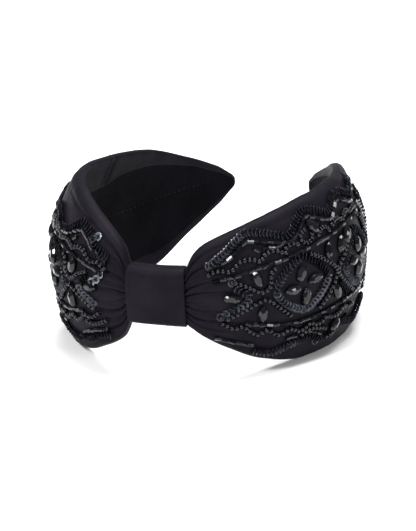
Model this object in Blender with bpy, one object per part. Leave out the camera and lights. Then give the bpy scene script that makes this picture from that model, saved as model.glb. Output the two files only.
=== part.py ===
"""A wide beaded headband: two padded leaf-shaped lobes gathered into a knot wrap at the crown.

Frame: metres, +Z up. The crown faces -Y, the arms run back to +Y and +X is on the right seen from the
front. The band stands on the flats of its lower edges, which lie at Z = 0.
A place on the band is given as (s, z, t): the run along the band from the crown, the height over the
band's mid-line, and the depth outwards from the middle of the layers.
"""

import math

import bmesh
import bpy
from mathutils import Vector

# ---- overall sizes -------------------------------------------------------------------------------
ARM_LENGTH = 0.1955
ARM_TURN = math.radians(135.3)
LOBE_HALF_HEIGHT = 0.0344
UPPER_SECTION_RADIUS = 0.056
LOWER_SECTION_RADIUS = 0.125

# How sharply an arm bends along its length: (share of the length, bend relative to the others).
BEND = [(0.0, 1.11), (0.167, 1.50), (0.333, 1.42), (0.5, 1.23), (0.667, 0.69), (0.833, 0.50), (1.0, 0.55)]

# Outline of a lobe: (share of the run from neck to tip, share of the half height).
UPPER_EDGE = [
    (0.03, 0.59), (0.08, 0.706), (0.16, 0.857), (0.28, 0.956), (0.42, 1.0),
    (0.56, 0.974), (0.72, 0.866), (0.88, 0.503), (0.96, 0.27), (1.0, 0.137),
]
LOWER_EDGE = [
    (0.03, 0.59), (0.08, 0.706), (0.16, 0.880), (0.28, 1.0),
    (0.53, 1.0), (0.72, 0.866), (0.88, 0.503), (0.96, 0.27), (1.0, 0.137),
]

# ---- layers, from the outside in -----------------------------------------------------------------
COVER_WALL = 0.0006
PAD_THICKNESS = 0.0016
STIFFENER_THICKNESS = 0.0006
CORE_THICKNESS = 0.0013
LINING_THICKNESS = 0.0006
LAYER_GAP = 0.0003
EDGE_INSET = 0.0024
CORE_HALF_HEIGHT = 0.0055
UPPER_HEM = 0.0100
LOWER_HEM = 0.0055
HEM_SLOT = 0.0003
TIP_CLOSING = 0.0030
TIP_SLIT = 0.0003

# ---- knot wrap and hinges ------------------------------------------------------------------------
WRAP_HALF_WIDTH = 0.0122
WRAP_WALL = 0.0010
WRAP_CORNER = 0.0022
WRAP_CLEARANCE = 0.0006
NECK_HALF_HEIGHT = 0.0106
NECK_FRONT = 0.0009
HINGE_REACH = 0.0060
OPEN_LIMIT = math.radians(12)
CLOSE_LIMIT = math.radians(4)
SWING_CLEARANCE = 0.0005
SEAT_GAP = 0.0003
OVERLAP_HALF_WIDTH = 0.0080
OVERLAP_HALF_HEIGHT = 0.0045
OVERLAP_THICKNESS = 0.0008

# ---- beadwork ------------------------------------------------------------------------------------
SEED_RADIUS = 0.0009
BUGLE_RADIUS = 0.0008
SEQUIN_RADIUS = 0.0011
STONE_LENGTH = 0.0072
STONE_WIDTH = 0.0042
STONE_HEIGHT = 0.0026

# The beading chart is drawn, in millimetres of run and height, for a lobe of this length and half height.
CHART_LENGTH = 0.1955
CHART_HALF_HEIGHT = 0.0344
CHART_STEP = 6.0
ROWS = {
    "upper_sequin_border": (SEQUIN_RADIUS, False, [
        (21, 13.5), (28, 18.6), (35, 24.2), (39, 25.4), (48, 24.6), (56, 23), (61, 25.2), (66, 28.6),
        (71, 28.4), (79, 26.4), (84, 27), (91, 30), (98, 28.8), (106, 26), (114, 28.4), (121, 27.6)]),
    "upper_bugle_border": (BUGLE_RADIUS, False, [
        (24, 12.9), (30, 16.6), (36, 21), (40, 22.3), (48, 21.6), (56, 20), (62, 22.3), (67, 25.4),
        (71, 25.2), (79, 23.4), (85, 24.2), (91, 26.8), (97, 25.8), (105, 23.2), (113, 25), (120, 24)]),
    "upper_seed_scallops": (SEED_RADIUS, False, [
        (22, 9.8), (26, 11.6), (30, 11.6), (33, 13.4), (38, 15.2), (43, 15), (47, 17.4), (51, 17.6),
        (56, 17.2), (61, 18.4), (65, 21.4), (70, 21.4), (74, 19.4), (79, 20), (84, 19.6), (91, 21)]),
    "upper_bugle_line": (BUGLE_RADIUS, False, [
        (23, 7.8), (32, 9.6), (40, 11.8), (50, 13.2), (58, 14.6), (68, 15.6), (81, 16.6), (93, 17.4), (108, 17.2)]),
    "upper_seed_arc": (SEED_RADIUS, False, [
        (27, 5.2), (31, 6.2), (35.4, 5.2), (38.6, 2.4), (42, 0.9), (45, 3.2), (45.8, 6.8), (47.4, 9.4)]),
    "lower_seed_arc": (SEED_RADIUS, False, [
        (27.5, -9.4), (31, -8.2), (36, -5), (40, -2.6), (43.4, -2.2), (47, -4.8), (50, -8), (53, -11)]),
    "sequin_chevron": (SEQUIN_RADIUS, False, [
        (31.6, 3), (35.4, 1.4), (36.4, -1), (33.6, -3.4), (30, -5), (26.4, -6.4)]),
    "front_sequin_diamond": (SEQUIN_RADIUS, True, [
        (60, 11), (65, 9), (70, 5.4), (73.4, 1), (70, -3.6), (65, -7.4), (60, -9.6), (55, -7.4),
        (50.6, -3.6), (48, 0.8), (50.6, 5), (55, 8.8)]),
    "back_sequin_diamond": (SEQUIN_RADIUS, True, [
        (96, 13), (101, 10.6), (106, 6.4), (109, 1), (106, -4), (101, -8.4), (96, -10.6), (91, -8.4),
        (86, -4), (83, 1), (86, 6.4), (91, 10.6)]),
    "lower_bugle_line": (BUGLE_RADIUS, False, [
        (37, -12.2), (47, -14.2), (57, -14.6), (67, -14.4), (80, -14.2), (95, -14.4), (108, -14)]),
    "lower_seed_scallops": (SEED_RADIUS, False, [
        (26, -12.2), (30, -14.2), (35, -14), (39, -17.2), (44, -16.6), (49, -19), (54, -17.4), (58, -19.4),
        (64, -17.4), (69, -19.4), (74, -17.4), (80, -19.4), (86, -17.6), (93, -19.6)]),
    "lower_sequin_border": (SEQUIN_RADIUS, False, [
        (24, -17), (31, -19.6), (36, -22.6), (40, -25), (46, -25), (53, -24), (60, -23.4), (66, -26.2),
        (71, -28.2), (76, -26.8), (83, -24), (90, -26.6), (96, -28.4), (102, -26.6), (109, -24), (118, -26)]),
}
# Where each stone sits on the chart, and the turn of its long axis in degrees from the run.
STONES = {
    "chevron_stone": (29.7, -0.6, -10),
    "upper_arc_stone": (40.8, 6.7, 115),
    "lower_arc_stone": (42.2, -7.7, 84),
    "flower_stone_1": (59.2, 5.3, 68),
    "flower_stone_2": (66, 1.4, 0),
    "flower_stone_3": (54.4, 0.2, 0),
    "flower_stone_4": (60.6, -4.1, 80),
    "upper_gusset_stone": (77, 9.2, 40),
    "lower_gusset_stone": (78, -8, 140),
    "back_flower_stone_1": (96, 5.4, 90),
    "back_flower_stone_2": (96, -4.6, 90),
}

# ---- sizes worked out from the above ---------------------------------------------------------------
STACK = COVER_WALL + PAD_THICKNESS + STIFFENER_THICKNESS + CORE_THICKNESS + LINING_THICKNESS + 4 * LAYER_GAP
LOBE_FRONT = STACK / 2
LOBE_BACK = -STACK / 2
PAD_FRONT = LOBE_FRONT - COVER_WALL - LAYER_GAP
STIFFENER_FRONT = PAD_FRONT - PAD_THICKNESS - LAYER_GAP
CORE_FRONT = STIFFENER_FRONT - STIFFENER_THICKNESS - LAYER_GAP
CORE_MIDDLE = CORE_FRONT - CORE_THICKNESS / 2
NECK_END = WRAP_HALF_WIDTH + 0.0010
NECK_START = HINGE_REACH + 0.0010
CROWN_REACH = HINGE_REACH - CORE_THICKNESS / 2 - SEAT_GAP
HINGE_TO_MOUTH = WRAP_HALF_WIDTH - HINGE_REACH
WRAP_INSIDE_FRONT = NECK_FRONT + HINGE_TO_MOUTH * math.sin(OPEN_LIMIT) + SWING_CLEARANCE
WRAP_INSIDE_BACK = LOBE_BACK - HINGE_TO_MOUTH * math.sin(CLOSE_LIMIT) - SWING_CLEARANCE
WRAP_INSIDE_HEIGHT = NECK_HALF_HEIGHT + WRAP_CLEARANCE
PLAN_STEPS = 400


def slope(table, i):
    """Slope of the smooth curve at entry i of a table: level at its peaks, its ends and its flats."""
    if i in (0, len(table) - 1):
        return 0.0
    (x0, y0), (x1, y1), (x2, y2) = table[i - 1 : i + 2]
    before = (y1 - y0) / (x1 - x0)
    after = (y2 - y1) / (x2 - x1)
    return 0.0 if before * after <= 0 else 2 * before * after / (before + after)


def between(table, x):
    """Value at x on a smooth curve through a table of (x, value)."""
    for i in range(len(table) - 1):
        (x0, y0), (x1, y1) = table[i : i + 2]
        if x > x1:
            continue
        step = x1 - x0
        share = max(0.0, (x - x0) / step)
        start_pull = slope(table, i) * step
        end_pull = slope(table, i + 1) * step
        rise = (3 - 2 * share) * share**2
        bend = share * (1 - share) * (start_pull * (1 - share) - end_pull * share)
        return y0 + (y1 - y0) * rise + bend
    return table[-1][1]


def plan_points():
    """Points and headings of the band's mid-line in plan, from the crown to the tip."""
    step = 1 / PLAN_STEPS
    rates = [between(BEND, (i + 0.5) * step) for i in range(PLAN_STEPS)]
    turn_per_rate = ARM_TURN / sum(rates)
    heading = 0.0
    point = Vector((0, 0))
    points = [(point.copy(), heading)]
    for rate in rates:
        middle = heading + rate * turn_per_rate / 2
        point += Vector((math.cos(middle), math.sin(middle))) * ARM_LENGTH * step
        heading += rate * turn_per_rate
        points.append((point.copy(), heading))
    return points


PLAN = plan_points()


def from_crown(s, z, t):
    """Point at run s, height z and depth t, seen from the middle of the crown."""
    position = min(abs(s) / ARM_LENGTH * PLAN_STEPS, PLAN_STEPS - 1e-6)
    index = int(position)
    (start, heading), (end, next_heading) = PLAN[index], PLAN[index + 1]
    share = position - index
    middle = start.lerp(end, share)
    angle = heading + (next_heading - heading) * share
    radius = UPPER_SECTION_RADIUS if z > 0 else LOWER_SECTION_RADIUS
    depth = t - z * z / (2 * radius)
    x = middle.x + math.sin(angle) * depth
    y = middle.y - math.cos(angle) * depth
    return Vector((math.copysign(x, s), y, z))


# The origin is under the middle of the whole band, so the crown sits half of the band's depth in front of it.
FRONT_REACH = WRAP_INSIDE_FRONT + WRAP_WALL
BACK_REACH = max(from_crown(ARM_LENGTH * i / PLAN_STEPS, 0, LOBE_FRONT).y for i in range(PLAN_STEPS + 1))
CROWN_MIDDLE = Vector((0, (FRONT_REACH - BACK_REACH) / 2, LOBE_HALF_HEIGHT))


def place(s, z, t):
    """World point at run s from the crown, height z over the mid-line and depth t outwards."""
    return from_crown(s, z, t) + CROWN_MIDDLE


def lobe_run(share):
    """Run at a share of the way from the end of the neck to the tip."""
    return NECK_END + (ARM_LENGTH - NECK_END) * share


def edge_height(edge, s):
    """Half height of the band at run s, on the side that the outline table describes."""
    share = (s - NECK_END) / (ARM_LENGTH - NECK_END)
    return between([(0.0, NECK_HALF_HEIGHT / LOBE_HALF_HEIGHT)] + edge, share) * LOBE_HALF_HEIGHT


def flare(s):
    """0 in the neck, 1 where the lobe has its full depth."""
    return min(1.0, max(0.0, (s - NECK_END) / (lobe_run(UPPER_EDGE[0][0]) - NECK_END)))


def tip_closing(s):
    """0 along the lobe, rising to 1 at the very tip, where the cover's wall thickens and shuts it."""
    return min(1.0, max(0.0, 1 - (ARM_LENGTH - s) / TIP_CLOSING))


RUNS = [NECK_START, WRAP_HALF_WIDTH, NECK_END] + [
    lobe_run(share)
    for share in (0.02, 0.03, 0.05, 0.08, 0.12, 0.16, 0.22, 0.28, 0.35, 0.42, 0.475, 0.53, 0.6, 0.66, 0.72,
                  0.77, 0.82, 0.88, 0.93, 0.96, 0.98)
] + [ARM_LENGTH - TIP_CLOSING, ARM_LENGTH]


# ---- building ------------------------------------------------------------------------------------
def clear_scene():
    for item in list(bpy.data.objects):
        bpy.data.objects.remove(item)


def finish(name, colour, roughness, metallic=0.0):
    material = bpy.data.materials.new(name)
    material.use_nodes = True
    shader = material.node_tree.nodes["Principled BSDF"]
    shader.inputs["Base Color"].default_value = (*colour, 1)
    shader.inputs["Roughness"].default_value = roughness
    shader.inputs["Metallic"].default_value = metallic
    return material


def add_object(name, data, material, parent=None):
    item = bpy.data.objects.new(name, data)
    item.data.materials.append(material)
    item.parent = parent
    bpy.context.scene.collection.objects.link(item)
    return item


def loft(name, rings, material, parent=None):
    """A closed solid drawn through rings of points: a face is extruded from each ring to the next."""
    origin = parent.location if parent else Vector()
    shape = bmesh.new()
    cap = shape.faces.new([shape.verts.new(point - origin) for point in rings[0]])
    for ring, next_ring in zip(rings, rings[1:]):
        grown = bmesh.ops.extrude_face_region(shape, geom=[cap])["geom"]
        if ring is not rings[0]:
            bmesh.ops.delete(shape, geom=[cap], context="FACES_ONLY")
        cap = next(item for item in grown if isinstance(item, bmesh.types.BMFace))
        for vert in cap.verts:
            index = min(range(len(ring)), key=lambda i: (ring[i] - origin - vert.co).length_squared)
            vert.co = next_ring[index] - origin
    bmesh.ops.recalc_face_normals(shape, faces=shape.faces)
    mesh = bpy.data.meshes.new(name)
    shape.to_mesh(mesh)
    shape.free()
    return add_object(name, mesh, material, parent)


def box_section(top, bottom, front, back, steps=2):
    """Corners (z, t) of a rectangular section, with points between them so that it follows the band's curve."""
    heights = [bottom + (top - bottom) * i / steps for i in range(steps + 1)]
    return [(z, front) for z in heights] + [(z, back) for z in reversed(heights)]


def rings_through(runs, section, side):
    return [[place(side * s, z, t) for z, t in section(s)] for s in runs]


def rim(edge, front, back, sign):
    """Rounded edge of the cover from its front face to its back face, with a flat along the very edge."""
    middle = (front + back) / 2
    half = (front - back) / 2
    outline = ((1, 1), (0.8, 0.3), (0.4, 0), (-0.4, 0), (-0.8, 0.3), (-1, 1))
    return [(sign * (edge - inset * half), middle + depth * half) for depth, inset in outline]


def cover_section(s):
    """C-shaped wall of the cover: over the front, round both edges and back along the two hems."""
    top = edge_height(UPPER_EDGE, s)
    bottom = edge_height(LOWER_EDGE, s)
    front = NECK_FRONT + (LOBE_FRONT - NECK_FRONT) * flare(s)
    wall = COVER_WALL + (STACK / 2 - TIP_SLIT / 2 - COVER_WALL) * tip_closing(s)
    inner_front = front - wall
    inner_back = LOBE_BACK + wall
    upper_hem = hem_edge(s, UPPER_EDGE, UPPER_HEM)
    lower_hem = hem_edge(s, LOWER_EDGE, LOWER_HEM)
    heights = [-bottom * 0.75, -bottom * 0.5, -bottom * 0.25, 0.0, top * 0.25, top * 0.5, top * 0.75]
    outside = [(z, front) for z in heights] + rim(top, front, LOBE_BACK, 1)
    outside += [(upper_hem, LOBE_BACK)]
    inside = [(upper_hem, inner_back)] + rim(top - wall, inner_front, inner_back, 1)[::-1]
    inside += [(z, inner_front) for z in reversed(heights)]
    inside += rim(bottom - wall, inner_front, inner_back, -1) + [(-lower_hem, inner_back)]
    return outside + inside + [(-lower_hem, LOBE_BACK)] + rim(bottom, front, LOBE_BACK, -1)[::-1]


def hem_edge(s, edge, hem):
    """Height of a hem's free edge: nearly closed in the neck, and tapering to the rim at the tip."""
    height = edge_height(edge, s)
    rim_room = STACK / 2 + HEM_SLOT
    taper = between([(0.0, 1.0), (0.5, 1.0), (0.88, 0.15), (1.0, 0.0)], s / ARM_LENGTH)
    open_edge = height - rim_room - max(0.0, hem - rim_room) * taper
    return HEM_SLOT + (max(open_edge, HEM_SLOT) - HEM_SLOT) * flare(s)


def lining_section(s):
    top = hem_edge(s, UPPER_EDGE, UPPER_HEM) - SEAT_GAP
    bottom = hem_edge(s, LOWER_EDGE, LOWER_HEM) - SEAT_GAP
    return box_section(top, -bottom, LOBE_BACK + LINING_THICKNESS, LOBE_BACK, 6)


def leaf_section(front, thickness):
    """Section of a leaf-shaped layer that stops short of the cover's rounded edge."""
    inset = COVER_WALL + EDGE_INSET

    def section(s):
        top = edge_height(UPPER_EDGE, s) - inset
        bottom = edge_height(LOWER_EDGE, s) - inset
        return box_section(top, -bottom, front, front - thickness, 8)

    return section


def core_section(s):
    """Spring strip, with a round nose about the hinge axis."""
    half = CORE_THICKNESS / 2
    if s < HINGE_REACH:
        half = math.sqrt(half**2 - (HINGE_REACH - s) ** 2)
    return box_section(CORE_HALF_HEIGHT, -CORE_HALF_HEIGHT, CORE_MIDDLE + half, CORE_MIDDLE - half)


def nose_runs():
    radius = CORE_THICKNESS / 2
    return [HINGE_REACH - radius * math.cos(math.radians(angle)) for angle in (25, 55, 90)]


def runs_between(start, end):
    inner = [s for s in RUNS if start + 0.0005 < s < end - 0.0005]
    return [start] + inner + [end]


def rounded_box(half_height, front, back, corner):
    """Section with cut corners, listed once round, with points between so that it follows the band's curve."""
    flat = half_height - corner
    heights = (-flat, -flat / 2, 0.0, flat / 2, flat)
    outside = [(z, front) for z in heights] + [(half_height, front - corner), (half_height, back + corner)]
    inside = [(z, back) for z in reversed(heights)]
    return outside + inside + [(-half_height, back + corner), (-half_height, front - corner)]


def cut(body, cutter):
    """Take the cutter's shape out of a body."""
    cutter.hide_render = True
    cutter.display_type = "WIRE"
    modifier = body.modifiers.new("cut", "BOOLEAN")
    modifier.operation = "DIFFERENCE"
    modifier.object = cutter


def crown_loft(name, section, half_width, material):
    runs = [half_width * share for share in (-1, -0.6, -0.2, 0.2, 0.6, 1)]
    return loft(name, [[place(s, z, t) for z, t in section] for s in runs], material)


def build_crown(satin, foam, plastic):
    outside = rounded_box(
        WRAP_INSIDE_HEIGHT + WRAP_WALL, WRAP_INSIDE_FRONT + WRAP_WALL, WRAP_INSIDE_BACK - WRAP_WALL, WRAP_CORNER)
    mouth = rounded_box(WRAP_INSIDE_HEIGHT, WRAP_INSIDE_FRONT, WRAP_INSIDE_BACK, WRAP_CORNER - WRAP_WALL)
    wrap = crown_loft("knot_wrap", outside, WRAP_HALF_WIDTH, satin)
    cut(wrap, crown_loft("wrap_cutter", mouth, WRAP_HALF_WIDTH * 1.2, satin))

    filling = rounded_box(
        WRAP_INSIDE_HEIGHT - SEAT_GAP, WRAP_INSIDE_FRONT - SEAT_GAP, WRAP_INSIDE_BACK + SEAT_GAP,
        WRAP_CORNER - WRAP_WALL)
    padding = crown_loft("crown_padding", filling, CROWN_REACH, foam)
    half = CORE_THICKNESS / 2
    slot = box_section(
        CORE_HALF_HEIGHT + SEAT_GAP, -CORE_HALF_HEIGHT - SEAT_GAP,
        CORE_MIDDLE + half + SEAT_GAP, CORE_MIDDLE - half - SEAT_GAP)
    cut(padding, crown_loft("slot_cutter", slot, CROWN_REACH * 1.2, foam))
    strip = box_section(CORE_HALF_HEIGHT, -CORE_HALF_HEIGHT, CORE_MIDDLE + half, CORE_MIDDLE - half)
    crown_loft("crown_core", strip, CROWN_REACH, plastic)
    build_overlap(satin)


def build_overlap(satin):
    """Closing strip of the wrap on the hair side, flat, seated on the curved back of the wrap."""
    seat = from_crown(OVERLAP_HALF_WIDTH, OVERLAP_HALF_HEIGHT, WRAP_INSIDE_BACK - WRAP_WALL).y + SEAT_GAP
    rings = []
    for y in (seat, seat + OVERLAP_THICKNESS):
        corners = ((-1, -1), (1, -1), (1, 1), (-1, 1))
        rings.append([
            Vector((x * OVERLAP_HALF_WIDTH, y, z * OVERLAP_HALF_HEIGHT)) + CROWN_MIDDLE for x, z in corners])
    loft("wrap_overlap", rings, satin)


def build_arm(name, side, finishes):
    satin, foam, buckram, plastic, lining, bead, sequin, stone = finishes
    hinge = bpy.data.objects.new(f"{name}_hinge", None)
    hinge.location = place(side * HINGE_REACH, 0, CORE_MIDDLE)
    bpy.context.scene.collection.objects.link(hinge)
    core_runs = nose_runs() + runs_between(NECK_START, lobe_run(0.82))
    loft(f"{name}_core", rings_through(core_runs, core_section, side), plastic, hinge)
    leaf_runs = runs_between(lobe_run(0.03), lobe_run(0.93))
    stiffener = leaf_section(STIFFENER_FRONT, STIFFENER_THICKNESS)
    loft(f"{name}_stiffener", rings_through(leaf_runs, stiffener, side), buckram, hinge)
    padding = leaf_section(PAD_FRONT, PAD_THICKNESS)
    loft(f"{name}_padding", rings_through(leaf_runs, padding, side), foam, hinge)
    loft(f"{name}_cover", rings_through(RUNS, cover_section, side), satin, hinge)
    lining_runs = runs_between(lobe_run(0.02), lobe_run(0.98))
    loft(f"{name}_lining", rings_through(lining_runs, lining_section, side), lining, hinge)
    for row, (radius, closed, chart) in ROWS.items():
        finish_of_row = sequin if "sequin" in row else bead
        build_row(f"{name}_{row}", chart, radius, closed, side, finish_of_row, hinge)
    for gem, (run, height, turn) in STONES.items():
        build_stone(f"{name}_{gem}", run, height, math.radians(turn), side, stone, hinge)


def from_chart(run, height):
    """Run and height on the lobe of a place on the beading chart, which is in millimetres."""
    return run / 1000 * ARM_LENGTH / CHART_LENGTH, height / 1000 * LOBE_HALF_HEIGHT / CHART_HALF_HEIGHT


def closer_points(chart, closed):
    """The chart's points with more between them, so that no straight piece is longer than the chart's step."""
    points = []
    ends = chart[1:] + ([chart[0]] if closed else [])
    for (run, height), (next_run, next_height) in zip(chart, ends):
        pieces = math.ceil(math.hypot(next_run - run, next_height - height) / CHART_STEP)
        for i in range(pieces):
            share = i / pieces
            points.append((run + (next_run - run) * share, height + (next_height - height) * share))
    return points if closed else points + [chart[-1]]


def build_row(name, chart, radius, closed, side, material, hinge):
    """A sewn row of beads as one tube that runs just over the cover."""
    chart = closer_points(chart, closed)
    curve = bpy.data.curves.new(name, "CURVE")
    curve.dimensions = "3D"
    curve.bevel_depth = radius
    curve.bevel_resolution = 1
    curve.use_fill_caps = True
    spline = curve.splines.new("POLY")
    spline.points.add(len(chart) - 1)
    spline.use_cyclic_u = closed
    for point, (run, height) in zip(spline.points, chart):
        s, z = from_chart(run, height)
        route = place(side * s, z, LOBE_FRONT + SEAT_GAP + radius) - hinge.location
        point.co = (*route, 1)
    add_object(name, curve, material, hinge)


def build_stone(name, run, height, turn, side, material, hinge):
    """A navette-cut stone: a pointed outline with a flat back, a girdle and a small raised table."""
    s, z = from_chart(run, height)
    middle = place(side * s, z, LOBE_FRONT + SEAT_GAP)
    out = (place(side * s, z, STACK) - place(side * s, z, 0)).normalized()
    along = (place(side * (s + 0.001), z, 0) - place(side * (s - 0.001), z, 0)).normalized()
    up = out.cross(along) * side
    long_axis = along * math.cos(turn) + up * math.sin(turn)
    short_axis = up * math.cos(turn) - along * math.sin(turn)
    outline = ((1, 0), (0.55, 0.72), (0, 1), (-0.55, 0.72), (-1, 0), (-0.55, -0.72), (0, -1), (0.55, -0.72))
    levels = ((0.9, 0.0), (1.0, 0.35), (0.5, 1.0))
    rings = []
    for spread, rise in levels:
        rings.append([
            middle + long_axis * x * spread * STONE_LENGTH / 2 + short_axis * y * spread * STONE_WIDTH / 2
            + out * rise * STONE_HEIGHT
            for x, y in outline])
    loft(name, rings, material, hinge)


def main():
    clear_scene()
    satin = finish("black_satin", (0.030, 0.028, 0.036), 0.42)
    foam = finish("white_foam", (0.75, 0.74, 0.70), 0.95)
    buckram = finish("buckram", (0.62, 0.58, 0.50), 0.9)
    plastic = finish("spring_strip", (0.03, 0.03, 0.03), 0.45)
    lining = finish("black_lining", (0.012, 0.012, 0.016), 0.75)
    bead = finish("black_glass_beads", (0.01, 0.01, 0.014), 0.12)
    sequin = finish("gunmetal_sequins", (0.05, 0.06, 0.08), 0.22, 0.4)
    stone = finish("smoky_stones", (0.015, 0.012, 0.012), 0.04)
    build_crown(satin, foam, plastic)
    finishes = (satin, foam, buckram, plastic, lining, bead, sequin, stone)
    build_arm("left", -1, finishes)
    build_arm("right", 1, finishes)


main()
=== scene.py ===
"""Looks of the wide beaded headband: gathered satin lobes, a knot wrap, a dark lining and beadwork.

Frame: metres, +Z up, crown at -Y. A place on the band is (s, z, t): the run from the crown, the height
over the band's mid-line and the depth outwards from the middle of the layers, as in the CAD model.
"""

import math
import random

import bmesh
import bpy
import numpy as np
from mathutils import Euler, Matrix, Vector


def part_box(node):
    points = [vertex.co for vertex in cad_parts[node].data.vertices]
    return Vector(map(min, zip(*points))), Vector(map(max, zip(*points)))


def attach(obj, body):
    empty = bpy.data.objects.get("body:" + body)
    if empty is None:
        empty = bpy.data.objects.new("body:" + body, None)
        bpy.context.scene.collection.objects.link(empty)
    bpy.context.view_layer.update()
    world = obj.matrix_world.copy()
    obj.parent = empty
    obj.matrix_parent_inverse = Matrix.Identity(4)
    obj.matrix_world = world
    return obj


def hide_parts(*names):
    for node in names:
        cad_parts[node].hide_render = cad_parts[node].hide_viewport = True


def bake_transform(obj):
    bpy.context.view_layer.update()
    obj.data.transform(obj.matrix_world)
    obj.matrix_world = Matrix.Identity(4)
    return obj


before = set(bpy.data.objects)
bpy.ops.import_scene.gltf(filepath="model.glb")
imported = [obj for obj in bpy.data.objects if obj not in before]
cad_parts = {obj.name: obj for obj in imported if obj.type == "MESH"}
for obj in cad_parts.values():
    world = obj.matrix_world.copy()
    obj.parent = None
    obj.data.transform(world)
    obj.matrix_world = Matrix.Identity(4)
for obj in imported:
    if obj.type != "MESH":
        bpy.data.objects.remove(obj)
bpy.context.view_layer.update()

MM = 0.001

# ---- the band's plan and section, as in the CAD model --------------------------------------------
ARM_LENGTH = 0.1955
ARM_TURN = math.radians(135.3)
HALF_HEIGHT = 0.0344
UPPER_SECTION_RADIUS = 0.056
LOWER_SECTION_RADIUS = 0.125
PLAN_STEPS = 400
BEND = [(0.0, 1.11), (0.167, 1.50), (0.333, 1.42), (0.5, 1.23), (0.667, 0.69), (0.833, 0.50), (1.0, 0.55)]

# ---- the finished lobes, which differ a little from the CAD model's ------------------------------
# Edges: (share of the run from neck to tip, share of the half height). They leave the wrap steeply.
NECK_EDGE = [(-0.0285, 0.302), (-0.0093, 0.317), (-0.0040, 0.352)]
# The lobes (1 is the right one, -1 the left) are not quite alike: the left one stands taller near its
# mouth and hangs fuller there.
UPPER_EDGES = {
    1: NECK_EDGE + [
        (0.0099, 0.490), (0.0236, 0.565), (0.040, 0.620), (0.08, 0.700), (0.16, 0.812), (0.26, 0.900),
        (0.35, 0.935), (0.46, 0.930), (0.56, 0.880), (0.72, 0.755), (0.88, 0.445), (0.96, 0.250),
        (1.0, 0.137)],
    -1: NECK_EDGE + [
        (0.0099, 0.500), (0.0236, 0.585), (0.040, 0.650), (0.08, 0.760), (0.16, 0.905), (0.26, 0.990),
        (0.35, 1.0), (0.46, 0.970), (0.56, 0.910), (0.72, 0.785), (0.88, 0.462), (0.96, 0.255),
        (1.0, 0.137)],
}
TIP_EDGE = [(0.53, 1.0), (0.72, 0.880), (0.88, 0.510), (0.96, 0.27), (1.0, 0.137)]
LOWER_EDGES = {
    1: NECK_EDGE + [(0.0236, 0.475), (0.08, 0.655), (0.16, 0.855), (0.28, 0.990)] + TIP_EDGE,
    -1: NECK_EDGE + [(0.0099, 0.500), (0.0236, 0.600), (0.08, 0.770), (0.16, 0.930), (0.28, 1.0)] + TIP_EDGE,
}
HALF_DEPTH = 0.00295
NECK_END = 0.0132
NECK_FRONT = 0.0021
LOBE_FRONT = 0.0026
# The inner layers are pressed back from this depth outwards, to stay under the satin.
PRESSED_FROM = 0.0005
LOBE_FULL_RUN = 0.022
COVER_START = 0.0085
HEM_SLOT = 0.0003
# Width of the hems on the hair side: (share of the arm's length, metres).
UPPER_HEM = [
    (0.0, 0.0100), (0.35, 0.0115), (0.55, 0.0142), (0.60, 0.0132), (0.67, 0.0092), (0.757, 0.0066),
    (0.845, 0.0041), (0.91, 0.0022), (0.95, 0.0014), (1.01, 0.0009),
]
LOWER_HEM = [
    (0.0, 0.0060), (0.40, 0.0075), (0.62, 0.0085), (0.72, 0.0062), (0.80, 0.0037), (0.90, 0.0019),
    (1.01, 0.0010),
]
COVER_END = 0.1972
TIP_ROUNDING = 0.0060

WRAP_HALF_WIDTH = 0.0122
WRAP_HALF_HEIGHT = 0.0122
WRAP_FRONT = 0.003689
WRAP_BACK = -0.004882
WRAP_CORNER = 0.0026
WRAP_WALL = 0.0010
OVERLAP_SIZE = (0.0160, 0.0008, 0.0090)

LINING_DEPTH = 0.00022
LINING_THICKNESS = 0.0003
RECESS = 0.0007
BLEND_START = 0.0125
BLEND_END = 0.050

# ---- gathers: (height as a share of the half height, length and depth in mm) ---------------------
RIGHT_GATHERS = [
    (0.82, 15, 0.9), (0.60, 24, 1.1), (0.40, 13, 0.6), (0.30, 27, 1.1), (0.10, 31, 1.1), (-0.10, 14, 0.6),
    (-0.24, 20, 1.0), (-0.46, 30, 1.2), (-0.62, 33, 1.0), (-0.84, 15, 0.7),
]
LEFT_GATHERS = [
    (0.80, 30, 1.0), (0.64, 22, 0.8), (0.38, 33, 1.2), (0.20, 14, 0.6), (0.02, 36, 1.2), (-0.16, 16, 0.7),
    (-0.36, 34, 1.2), (-0.56, 15, 0.7), (-0.74, 33, 1.1), (-0.90, 14, 0.7),
]

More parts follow.
